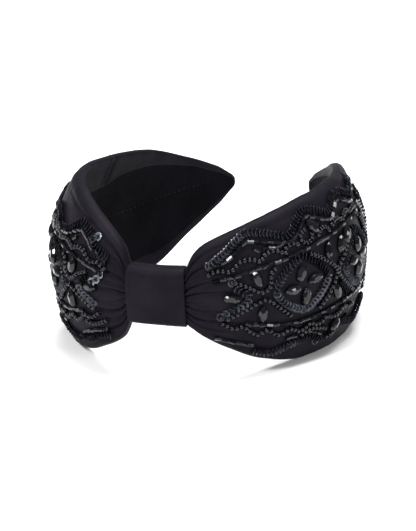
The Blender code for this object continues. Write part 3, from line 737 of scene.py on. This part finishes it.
def make_wrap():
    """The knot wrap: a short flat tube of satin round the crown, with its edges turned in."""
    middle = (WRAP_FRONT + WRAP_BACK) / 2
    half_depth = (WRAP_FRONT - WRAP_BACK) / 2

    def shape_of(around, across):
        run, inset = rounded_rectangle(across, WRAP_HALF_WIDTH, WRAP_WALL / 2, WRAP_WALL * 0.42)
        inset = inset - WRAP_WALL / 2
        waist = 1 - 0.018 * np.cos(run / WRAP_HALF_WIDTH * math.pi / 2)
        z, t = rounded_rectangle(around, WRAP_HALF_HEIGHT, half_depth, WRAP_CORNER)
        length = np.maximum(np.sqrt(z**2 + (t * 2.4) ** 2), 1e-9)
        tension = 0.05 * MM * ripples(run * 0.5, z * 1.6 + t, 0.010, 5)
        z = (z + z / length * (inset + tension)) * waist
        t = t + np.where(np.abs(t) > half_depth - WRAP_CORNER, np.sign(t), 0) * (inset + tension)
        crown = 0.00025 * (1 - (run / WRAP_HALF_WIDTH) ** 2)
        return place(run, z, middle + t + np.sign(t) * crown)

    wrap = grid_piece("satin_knot_wrap", columns=132, rows=88, shape_of=shape_of, material=SATIN)
    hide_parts("knot_wrap")
    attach(wrap, "crown")


def make_overlap():
    """The closing strip on the hair side, with hand stitches along its edge."""
    low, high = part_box("wrap_overlap")
    shape = bmesh.new()
    bmesh.ops.create_cube(shape, size=1)
    bmesh.ops.scale(shape, vec=OVERLAP_SIZE, verts=shape.verts)
    bmesh.ops.bevel(
        shape, geom=shape.edges[:], offset=0.00035, offset_type="OFFSET", segments=4, profile=0.5,
        affect="EDGES", material=-1)
    bmesh.ops.translate(shape, vec=(low + high) / 2, verts=shape.verts)
    strip = new_piece("satin_overlap", shape, SATIN)
    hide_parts("wrap_overlap")
    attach(strip, "crown")
    stitch = thread_stitch(0.0016)
    shape = bmesh.new()
    inner = high.y + 0.00002
    end_gap, pitch = 0.0016, 0.00256
    for i in range(6):
        middle = Vector((low.x + end_gap + i * pitch, inner, low.z + 0.0009))
        sew_on(shape, stitch, Matrix.Translation(middle) @ Euler((0, 0.5, 0)).to_matrix().to_4x4())
    stitches = new_piece("overlap_stitches", shape, THREAD)
    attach(stitches, "crown")


# ---- beads ---------------------------------------------------------------------------------------
def template(name, shape):
    mesh = bpy.data.meshes.new(name)
    bmesh.ops.recalc_face_normals(shape, faces=shape.faces)
    shape.to_mesh(mesh)
    shape.free()
    return mesh


def seed_bead(radius, hole):
    """A round glass bead with its hole along X."""
    shape = bmesh.new()
    bmesh.ops.create_circle(shape, segments=6, radius=(radius - hole) / 2)
    bmesh.ops.scale(shape, vec=(2.0, 1, 1), verts=shape.verts)
    bmesh.ops.translate(shape, vec=(0, (radius + hole) / 2, 0), verts=shape.verts)
    bmesh.ops.spin(
        shape, geom=shape.verts[:] + shape.edges[:], cent=(0, 0, 0), axis=(1, 0, 0), angle=math.tau, steps=10,
        use_merge=True, use_duplicate=False)
    bmesh.ops.remove_doubles(shape, verts=shape.verts, dist=1e-6)
    return template("seed", shape)


def bugle_bead(length, radius):
    """A cut glass tube along X with a sunk hole in each end."""
    shape = bmesh.new()
    bmesh.ops.create_cone(shape, cap_ends=True, segments=6, radius1=radius, radius2=radius, depth=length)
    for end in [face for face in shape.faces if len(face.verts) == 6]:
        bmesh.ops.inset_region(shape, faces=[end], thickness=radius * 0.16, depth=radius * 0.10)
        bmesh.ops.inset_region(shape, faces=[end], thickness=radius * 0.40, depth=0)
        bmesh.ops.inset_region(shape, faces=[end], thickness=radius * 0.02, depth=-radius * 0.7)
    bmesh.ops.rotate(shape, cent=(0, 0, 0), matrix=Matrix.Rotation(math.pi / 2, 3, "Y"), verts=shape.verts)
    return template("bugle", shape)


def sequin_disc(radius):
    """A thin cupped disc with a pierced middle, flat in XY."""
    shape = bmesh.new()
    wall = 0.00009
    profile = [(0.00042, 0.00018), (radius * 0.62, 0.00006), (radius, 0.00030)]
    verts = [shape.verts.new((x, 0, z)) for x, z in profile]
    under = [shape.verts.new((x, 0, z - wall)) for x, z in reversed(profile)]
    loop = verts + under
    for first, second in zip(loop, loop[1:] + loop[:1]):
        shape.edges.new((first, second))
    bmesh.ops.spin(
        shape, geom=shape.verts[:] + shape.edges[:], cent=(0, 0, 0), axis=(0, 0, 1), angle=math.tau, steps=14,
        use_merge=True, use_duplicate=False)
    bmesh.ops.remove_doubles(shape, verts=shape.verts, dist=1e-6)
    return template("sequin", shape)


def navette_stone():
    """A pointed oval stone with a flat back, a girdle, two rings of facets and a table."""
    shape = bmesh.new()
    bmesh.ops.create_circle(shape, cap_ends=True, segments=12, radius=1)
    for vert in shape.verts:
        angle = math.atan2(vert.co.y, vert.co.x)
        vert.co.x = math.copysign(abs(math.cos(angle)) ** 0.85, math.cos(angle)) * STONE_LENGTH / 2 * 0.88
        vert.co.y = math.copysign(abs(math.sin(angle)) ** 1.25, math.sin(angle)) * STONE_WIDTH / 2 * 0.88
    base = shape.faces[:]
    rings = ((1.136, 0.28), (1.0, 0.14), (0.78, 0.33), (0.62, 0.25))
    for i, (spread, rise) in enumerate(rings):
        grown = bmesh.ops.extrude_face_region(shape, geom=base)["geom"]
        if i:
            bmesh.ops.delete(shape, geom=base, context="FACES_ONLY")
        base = [item for item in grown if isinstance(item, bmesh.types.BMFace)]
        verts = [item for item in grown if isinstance(item, bmesh.types.BMVert)]
        bmesh.ops.scale(shape, vec=(spread, spread, 1), verts=verts)
        bmesh.ops.translate(shape, vec=(0, 0, rise * STONE_RISE), verts=verts)
    bmesh.ops.triangulate(shape, faces=[face for face in shape.faces if len(face.verts) == 4])
    return template("stone", shape)


def thread_stitch(length):
    """A short lens of thread along X."""
    shape = bmesh.new()
    bmesh.ops.create_uvsphere(shape, u_segments=6, v_segments=4, radius=1)
    bmesh.ops.scale(shape, vec=(length / 2, 0.00016, 0.00014), verts=shape.verts)
    return template("stitch", shape)


def sew_on(shape, bead, matrix):
    """Adds a copy of a bead to a shape."""
    copy = bead.copy()
    copy.transform(matrix)
    shape.from_mesh(copy)
    bpy.data.meshes.remove(copy)


SEED = seed_bead(radius=0.00114, hole=0.00034)
SMALL_SEED = seed_bead(radius=0.00098, hole=0.00030)
BUGLE = bugle_bead(length=0.0026, radius=0.00086)
SEQUIN = sequin_disc(radius=0.00180)
STONE = navette_stone()

# Kind of row: bead, spacing in mm, lift over the satin, lean from flat in degrees, finish, slot.
KINDS = {
    "seed": (SEED, 1.95, 0.00082, 0, SEED_GLASS, "beads"),
    "small seed": (SMALL_SEED, 1.7, 0.00072, 0, SEED_GLASS, "beads"),
    "bugle": (BUGLE, 2.85, 0.00070, 0, BUGLE_GLASS, "beads"),
    "standing sequin": (SEQUIN, 1.62, 0.00080, 40, SEQUIN_FILM, "sequins"),
    "flat sequin": (SEQUIN, 1.85, 0.00070, 32, SEQUIN_FILM, "sequins"),
}


def smooth_route(points, closed):
    """Close points on a smooth curve through the chart's points."""
    points = np.array(points, float)
    if closed:
        points = np.vstack([points[-1], points, points[:2]])
    else:
        points = np.vstack([2 * points[0] - points[1], points, 2 * points[-1] - points[-2]])
    shares = np.linspace(0, 1, 12, endpoint=False)[:, None]
    route = []
    for p0, p1, p2, p3 in zip(points, points[1:], points[2:], points[3:]):
        route.append(0.5 * (2 * p1 + (p2 - p0) * shares + (2 * p0 - 5 * p1 + 4 * p2 - p3) * shares**2
                            + (3 * p1 - p0 - 3 * p2 + p3) * shares**3))
    last = points[1:2] if closed else points[-2:-1]
    return np.vstack(route + [last])


def beads_along(points, closed, spacing):
    """Chart places and directions of the beads, evenly spaced along a row."""
    route = smooth_route(points, closed)
    lengths = np.concatenate([[0], np.cumsum(np.linalg.norm(np.diff(route, axis=0), axis=1))])
    count = max(1, round(lengths[-1] / spacing))
    ends = (np.arange(count) + 0.5) * lengths[-1] / count
    near = 0.2
    for at in ends:
        here, before, after = (
            np.array([np.interp(x, lengths, route[:, 0]), np.interp(x, lengths, route[:, 1])])
            for x in (at, at - near, at + near))
        yield here, math.atan2(after[1] - before[1], after[0] - before[0])


# The borders are those parts of the chart, in mm, that are drawn in when sewn.
UPPER_BORDER, LOWER_BORDER = 14, -20


def chart_height(run, height, side):
    """Height in mm at which a chart place is sewn: drawn in at the borders, most high on the left lobe."""
    if height > UPPER_BORDER:
        drawn_in = 0.14 if side > 0 else 0.14 + 0.31 * float(ease((run - 38) / 12))
        return UPPER_BORDER + (height - UPPER_BORDER) * (1 - drawn_in)
    if height < LOWER_BORDER:
        return LOWER_BORDER + (height - LOWER_BORDER) * 0.8
    return height


def bead_matrix(run, height, turn, side, lift, tilt):
    """Matrix that seats a bead on the cover, its X along the row; tilt turns it in its own axes first."""
    middle, along, out = seat(run, chart_height(run, height, side), side, lift)
    up = out.cross(along) * side
    forward = along * math.cos(turn) + up * math.sin(turn)
    across = out.cross(forward)
    axes = Matrix((forward, across, out)).transposed().to_4x4()
    return Matrix.Translation(middle) @ axes @ tilt.to_matrix().to_4x4()


def small_tilt(dice):
    """A stone or a single sequin never lies quite level."""
    return Euler((math.radians(dice.gauss(0, 6)), math.radians(dice.gauss(0, 6)), 0))


def make_row(arm, side, name, kind, points, dice, stands_for):
    bead, spacing, lift, lean, finish, slot_name = KINDS[kind]
    shape = bmesh.new()
    closed = "diamond" in name
    for (run, height), turn in beads_along(points, closed, spacing):
        if lean:
            tilt = Euler((math.radians(dice.gauss(0, 3)), math.radians(lean + dice.gauss(0, 2)), 0))
        else:
            tilt = Euler((dice.uniform(0, 6.28), dice.gauss(0, 0.07), dice.gauss(0, 0.10)))
        height += dice.gauss(0, 0.07)
        sew_on(shape, bead, bead_matrix(run, height, turn, side, lift, tilt))
    row = new_piece(f"{arm}_{name}_beads", shape, finish, smooth=kind != "bugle")
    if stands_for:
        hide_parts(f"{arm}_{name}")
    follow_arm(row, arm)


def make_stone(arm, side, name, run, height, turn, dice, stands_for):
    shape = bmesh.new()
    sew_on(shape, STONE, bead_matrix(run, height, math.radians(turn), side, 0.0001, small_tilt(dice)))
    stone = new_piece(f"{arm}_{name}_cut", shape, STONE_GLASS, smooth=False)
    if stands_for:
        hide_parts(f"{arm}_{name}")
    follow_arm(stone, arm)


def make_flat_sequins(arm, side, dice):
    """Single sequins that lie flat on the satin, each held by a small bead."""
    discs, pins = bmesh.new(), bmesh.new()
    for run, height in FLAT_SEQUINS[arm]:
        tilt = small_tilt(dice)
        sew_on(discs, SEQUIN, bead_matrix(run, height, 0, side, 0.0006, tilt))
        sew_on(pins, SMALL_SEED, bead_matrix(run, height, 0, side, 0.0013, tilt))
    # On the left lobe the discs take the paler film, whose colour is a painted highlight.
    for name, shape, finish, slot_name in (
            ("single_sequins", discs, SEQUIN_FILM_PAINTED_HIGHLIGHT if arm == "left" else SEQUIN_FILM, "sequins"),
            ("sequin_pin_beads", pins, SEED_GLASS, "beads")):
        piece = new_piece(f"{arm}_{name}", shape, finish)
        follow_arm(piece, arm)


def make_seam_stitches(arm, side):
    """Machine stitches along the seam in the middle of the lining."""
    stitch = thread_stitch(0.0019)
    pitch = 0.0026
    shape = bmesh.new()
    s = 0.052
    while s < ARM_LENGTH - 0.012:
        z = float(centre_seam(s))
        depth = -HALF_DEPTH * float(tip_thinning(s)) + LINING_DEPTH + 0.12 * MM
        here, ahead = (Vector(point(s + step, z, depth, side)) for step in (0, 0.001))
        forward = (ahead - here).normalized()
        across = Vector((0, 0, 1)).cross(forward).normalized()
        axes = Matrix((forward, across, forward.cross(across))).transposed().to_4x4()
        sew_on(shape, stitch, Matrix.Translation(here) @ axes)
        s += pitch
    stitches = new_piece(f"{arm}_seam_stitches", shape, THREAD)
    follow_arm(stitches, arm)


def settle(shape):
    """Fits an inner layer under the finished satin: pressed in the gathers, lower where its edge falls."""
    runs, x, y, heading = PLAN
    for vert in shape.verts:
        side = math.copysign(1, vert.co.x)
        across = abs(vert.co.x) - x
        back = vert.co.y - CROWN_Y - y
        nearest = (across**2 + back**2).argmin()
        turn = heading[nearest]
        s = runs[nearest] + across[nearest] * math.cos(turn) + back[nearest] * math.sin(turn)
        z = vert.co.z - CROWN_Z
        lean = z * z / (2 * (UPPER_SECTION_RADIUS if z > 0 else LOWER_SECTION_RADIUS))
        t = across[nearest] * math.sin(turn) - back[nearest] * math.cos(turn) + lean
        falls = 0.08 * float(ease((s - 0.085) / 0.03)) + (0.05 if side > 0 else 0)
        tucks = 0.06 * float(1 - ease((s - 0.035) / 0.02)) if side > 0 else 0
        z *= 1 - (falls if z > 0 else tucks)
        pressed = 0.60 - 0.35 * float(ease((s - 0.045) / 0.015))
        t -= max(t - PRESSED_FROM, 0) * pressed
        vert.co = point(s, z, t, side)


def make_inner_layers(arm):
    """Padding, buckram and spring strip, fitted under the cover."""
    for layer, finish, slot_name in (
            ("padding", FOAM, "foam"), ("stiffener", BUCKRAM, "buckram"), ("core", SPRING, "spring_strip")):
        node = f"{arm}_{layer}"
        shape = bmesh.new()
        shape.from_mesh(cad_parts[node].data)
        bmesh.ops.remove_doubles(shape, verts=shape.verts, dist=1e-6)
        settle(shape)
        piece = new_piece(f"{arm}_{layer}_layer", shape, finish, smooth=False)
        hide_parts(node)
        follow_arm(piece, arm)


def finish_crown_nodes():
    for name, finish in (("crown_core", SPRING), ("crown_padding", FOAM)):
        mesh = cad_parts[name].data
        mesh.materials.clear()
        mesh.materials.append(finish)


def make_arm(arm, side):
    dice = random.Random(11 if side > 0 else 12)
    make_cover(arm, side)
    make_lining(arm, side)
    make_seam_stitches(arm, side)
    make_inner_layers(arm)
    for name, kind, points in ROWS:
        make_row(arm, side, name, kind, points, dice, stands_for=True)
    for name, kind, points in EXTRA_ROWS + SINGLE_ROWS[arm]:
        make_row(arm, side, name, kind, points, dice, stands_for=False)
    for name, run, height, turn in STONES:
        make_stone(arm, side, name, run, height, turn, dice, stands_for=True)
    for name, run, height, turn in EXTRA_STONES:
        make_stone(arm, side, name, run, height, turn, dice, stands_for=False)
    make_flat_sequins(arm, side, dice)


# ---- camera, floor and light ---------------------------------------------------------------------
CAMERA_AZIMUTH = math.radians(20.66)
CAMERA_ELEVATION = math.radians(20.04)
CAMERA_ROLL = math.radians(2.92)
CAMERA_DISTANCE = 1.0503
CAMERA_LENS = 167.2
CAMERA_SENSOR = 36
# The camera aims at a place behind the crown, moved this far left and down in its own view.
AIM_BACK = 0.069
AIM_LEFT = 0.00325
AIM_DOWN = 0.01090
FLOOR_HEIGHT = -0.0004
WORLD_STRENGTH = 0.22
# Name, place, what it aims at, width and height in metres, and power in watts.
SOFTBOXES = [
    ("key softbox", (-0.45, -0.95, 1.15), (0, 0, 0.03), (0.35, 0.35), 20),
    ("side softbox", (1.2, -0.7, 0.7), (0, 0, 0.03), (0.3, 0.7), 9),
    ("top softbox", (0.1, 0.5, 1.7), (0, 0, 0), (1.3, 0.9), 56),
]


def make_camera():
    a, e = CAMERA_AZIMUTH, CAMERA_ELEVATION
    back = Vector((math.sin(a) * math.cos(e), -math.cos(a) * math.cos(e), math.sin(e)))
    right = Vector((math.cos(a), math.sin(a), 0))
    up = back.cross(right)
    target = Vector((0, CROWN_Y + AIM_BACK, CROWN_Z)) - right * AIM_LEFT - up * AIM_DOWN
    data = bpy.data.cameras.new("camera")
    data.lens = CAMERA_LENS
    data.sensor_width = CAMERA_SENSOR
    camera = bpy.data.objects.new("camera", data)
    turned = Matrix((right, up, back)).transposed() @ Matrix.Rotation(-CAMERA_ROLL, 3, "Z")
    camera.matrix_world = Matrix.Translation(target + back * CAMERA_DISTANCE) @ turned.to_4x4()
    bpy.context.scene.collection.objects.link(camera)
    bpy.context.scene.camera = camera


def make_light(name, place_at, aim_at, size, power):
    data = bpy.data.lights.new(name, "AREA")
    data.shape = "RECTANGLE"
    data.size, data.size_y = size
    data.energy = power
    light = bpy.data.objects.new(name, data)
    light.location = place_at
    light.rotation_mode = "QUATERNION"
    light.rotation_quaternion = (Vector(aim_at) - Vector(place_at)).to_track_quat("-Z", "Y")
    bpy.context.scene.collection.objects.link(light)


def make_stage():
    material, tree, shader, coords = new_finish("pale floor", 0.9)
    patches = place_group(tree, MOTTLE, coords.outputs["Object"], Scale=3.0)
    between_colours(tree, patches, (0.93, 0.93, 0.93), (0.95, 0.95, 0.95), shader.inputs["Base Color"])
    shape = bmesh.new()
    bmesh.ops.create_grid(shape, x_segments=2, y_segments=2, size=6)
    bmesh.ops.translate(shape, vec=(0, 0, FLOOR_HEIGHT), verts=shape.verts)
    floor = new_piece("floor", shape, material)
    world = bpy.data.worlds.new("studio")
    world.use_nodes = True
    background = world.node_tree.nodes["Background"]
    background.inputs["Color"].default_value = (1, 1, 1, 1)
    background.inputs["Strength"].default_value = WORLD_STRENGTH
    bpy.context.scene.world = world
    bpy.context.scene.view_settings.view_transform = "Standard"
    for softbox in SOFTBOXES:
        make_light(*softbox)


def main():
    make_camera()
    make_stage()
    make_wrap()
    make_overlap()
    finish_crown_nodes()
    make_arm("left", -1)
    make_arm("right", 1)


main()
